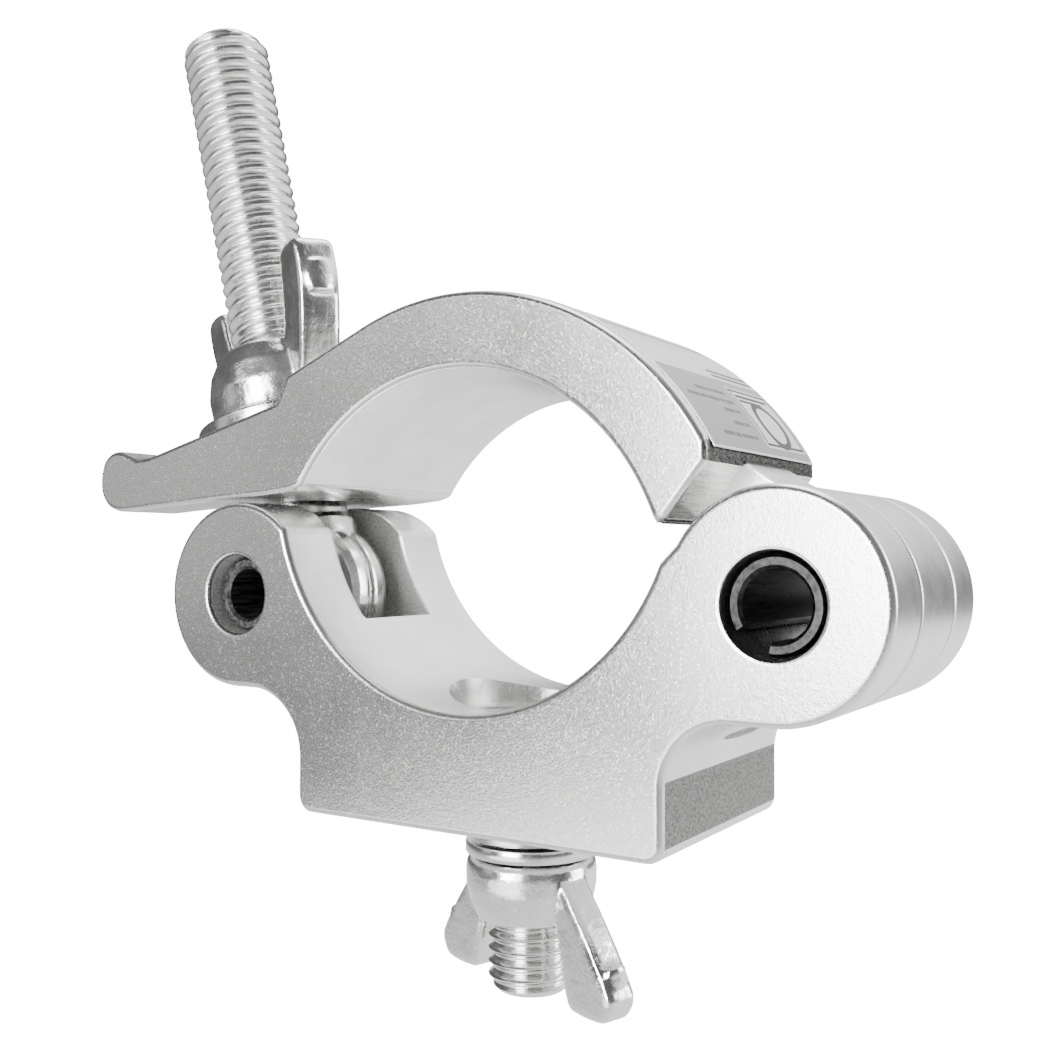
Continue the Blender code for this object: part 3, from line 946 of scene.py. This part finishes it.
def make_label():
    """The foil sticker: its sheet, a grey panel, a box with a frame and a ring, and bars of print."""
    silver = foil("label_silver", (0.88, 0.88, 0.88), 0.30, 0.6)
    grey = foil("label_grey", (0.36, 0.36, 0.36), 0.36, 0.75)
    ink = foil("label_ink", (0.04, 0.04, 0.04), 0.5, 0.0)
    pale_ink = foil("label_pale_ink", (0.16, 0.16, 0.16), 0.5, 0.2)
    film = 0.015 * MM
    sheet = 0.13 * MM
    gap = 0.03 * MM
    whole = [(28, 84, -13.6, 13.6)]
    make_label_layer("rating_label_foil", whole, gap, sheet - gap, silver, "rating_label")
    make_label_layer("rating_label_panel", [(28.5, 46.5, -13.3, 13.3)], sheet, film, grey)
    box = (30.0, 44.6, 1.6, 12.8)
    make_label_layer("rating_label_box", [box], sheet + film, film, silver)
    rows = [(41.6, -7.8, -0.6), (39.3, -11.4, -0.2), (37.0, -4.4, -0.4)]
    rows += [(34.0, -4.4, -0.4), (31.2, -9.0, -0.2)]
    bars = print_bars(rows)
    bars += [(47.6, 48.3, 2.0, 12.6), (49.2, 49.8, 2.0, 12.6), (60.0, 60.3, -12.6, 12.6)]
    make_label_layer("rating_label_print", bars, sheet + film, film, pale_ink)
    low, high, left, right = box
    lines = frame_patches(low + 0.5, high - 0.5, left + 0.3, right - 0.3, 0.3, 0.5)
    lines += [(42.0, 42.7, left + 1.2, right - 1.4), (40.8, 41.4, left + 1.2, right - 4.0)]
    make_label_layer("rating_label_frame", lines, sheet + 2 * film, film, ink)
    make_ring_mark(ink, sheet + 2 * film, film)


def make_ring_mark(ink, lift, thickness):
    """A plain ring, the sign for a round tube."""
    bm = bmesh.new()
    steps = 48
    centre_angle = 35.8
    centre_y = 7.2
    rows = []
    for i in range(steps):
        a = tau * i / steps
        row = []
        for radius, up in ((2.5, lift), (3.3, lift), (3.3, lift + thickness), (2.5, lift + thickness)):
            angle = radians(centre_angle) + radius * MM * sin(a) / ARCH_R
            row.append(bm.verts.new(on_arch(angle, (centre_y + radius * cos(a)) * MM, up)))
        rows.append(row)
    skin(bm, rows, closed=True)
    ring = link("rating_label_ring", bm)
    shade(ring)
    place(ring, "upper_jaw", None, "label_foil", ink)


# ---------------------------------------------------------------- stage


def add_light(name, at, target, size, power):
    """A softbox that lights the object and isn't seen itself: metres and watts."""
    data = bpy.data.lights.new(name, "AREA")
    data.shape = "RECTANGLE"
    data.size, data.size_y = size
    data.energy = power
    light = bpy.data.objects.new(name, data)
    light.location = at
    light.rotation_euler = (Vector(target) - Vector(at)).to_track_quat("-Z", "Y").to_euler()
    light.visible_camera = False
    bpy.context.scene.collection.objects.link(light)


def seen_and_lit(tree, kind, seen, lit, target):
    """Plain white, as bright as seen for the camera and as lit (a number or a socket) for the rest."""
    path = tree.nodes.new("ShaderNodeLightPath")
    mix = tree.nodes.new("ShaderNodeMixShader")
    tree.links.new(path.outputs["Is Camera Ray"], mix.inputs[0])
    for index, strength in ((1, lit), (2, seen)):
        node = tree.nodes.new(kind)
        feed(tree, node.inputs["Color"], (1, 1, 1))
        feed(tree, node.inputs["Strength"], strength)
        tree.links.new(node.outputs[0], mix.inputs[index])
    tree.links.new(mix.outputs[0], target)


def make_world(seen, front, back, top):
    """A studio that is darker behind the camera than beyond the object and overhead."""
    world = bpy.data.worlds.new("studio")
    world.use_nodes = True
    bpy.context.scene.world = world
    tree = world.node_tree
    separate = tree.nodes.new("ShaderNodeSeparateXYZ")
    tree.links.new(tree.nodes.new("ShaderNodeTexCoord").outputs["Generated"], separate.inputs[0])
    x, y, z = separate.outputs
    shades = ((y, 0.0, 0.7, 1), (z, 0.3, 0.9, top), (x, -0.65, -0.2, 1), (z, 0.05, 0.4, back))
    behind, overhead, right, raised = (
        ramp(tree, value, low, high, 0, amount, "SMOOTHSTEP") for value, low, high, amount in shades
    )
    lit = maths(tree, "ADD", maths(tree, "MULTIPLY", right, raised), overhead)
    lit = maths(tree, "ADD", maths(tree, "MULTIPLY", lit, behind), front)
    target = tree.nodes["World Output"].inputs["Surface"]
    seen_and_lit(tree, "ShaderNodeBackground", seen, lit, target)


def make_paper(seen, near, far):
    """The white paper floor, lit most brightly round the object."""
    paper = bpy.data.materials.new("paper_floor")
    paper.use_nodes = True
    tree = paper.node_tree
    length = tree.nodes.new("ShaderNodeVectorMath")
    length.operation = "LENGTH"
    tree.links.new(tree.nodes.new("ShaderNodeTexCoord").outputs["Object"], length.inputs[0])
    lit = ramp(tree, length.outputs["Value"], 0.1, 0.9, near, far, "SMOOTHSTEP")
    seen_and_lit(tree, "ShaderNodeEmission", seen, lit, tree.nodes["Material Output"].inputs["Surface"])
    return paper


def make_camera():
    data = bpy.data.cameras.new("camera")
    data.lens = LENS
    data.sensor_width = 36
    data.clip_start = 0.005
    camera = bpy.data.objects.new("camera", data)
    camera.location = CAMERA_AT
    camera.rotation_euler = CAMERA_TURN
    bpy.context.scene.collection.objects.link(camera)
    bpy.context.scene.camera = camera


def make_stage():
    """The camera, a white paper floor, a white studio and its softboxes."""
    make_camera()
    bm = bmesh.new()
    bmesh.ops.create_grid(bm, x_segments=2, y_segments=2, size=6)
    floor = link("floor", bm)
    floor.location = (0.15, 0.35, FLOOR_Z)
    floor.data.materials.append(make_paper(PAPER_SEEN, 1.8, 0.2))
    make_world(PAPER_SEEN, 0.135, 1.55, 1.4)
    softboxes = (
        ("front_softbox", (-0.06, -0.95, 0.1), (0.42, 0.62), 20),
        ("upper_softbox", (-0.55, -0.85, 0.4), (0.36, 0.28), 0.62),
        ("left_softbox", (-0.9, -0.75, 0.12), (0.35, 0.38), 0.24),
        ("side_softbox", (0.82, 0.5, 0.2), (0.36, 0.6), 7),
        ("top_softbox", (0.0, 0.1, 0.9), (0.5, 0.5), 4),
    )
    for name, at, size, power in softboxes:
        add_light(name, at, (0, 0, 0), size, power)
    low = FLOOR_Z + 1.2 * MM
    add_light("low_softbox", (-0.06, -0.27, low), (-0.06, -0.27, 1), (0.25, 0.25), 0.62)


def main():
    metals = (sawn_aluminium(), drawn_aluminium(), grainy_shaded_aluminium(), brushed_aluminium())
    zinc, cast = bright_zinc(), cast_zinc()
    steel = (pin_steel("pin_steel", 0.02, 0.07), pin_bore())
    # The latch pin's steel is a paler copy of the hinge pin's
    paler_steel = (pin_steel("paler_pin_steel", 0.08, 0.22), steel[1])
    make_lower_jaw(metals)
    make_upper_jaw(metals)
    gap = (radians(237), radians(50))
    make_spring_pin("hinge_pin_roll", "hinge_pin", HINGE, 4.75 * MM, PIN_LENGTH, *gap, steel)
    gap = (radians(20), radians(16))
    make_spring_pin("latch_pin_roll", "latch_pin", LATCH, 4.45 * MM, LATCH_PIN_LENGTH, *gap, paler_steel)
    make_swing_bolt(zinc)
    make_clamp_nut(zinc, cast)
    make_fixture_bolt(zinc)
    make_fixture_nut(zinc, cast)
    make_label()
    make_stage()


main()
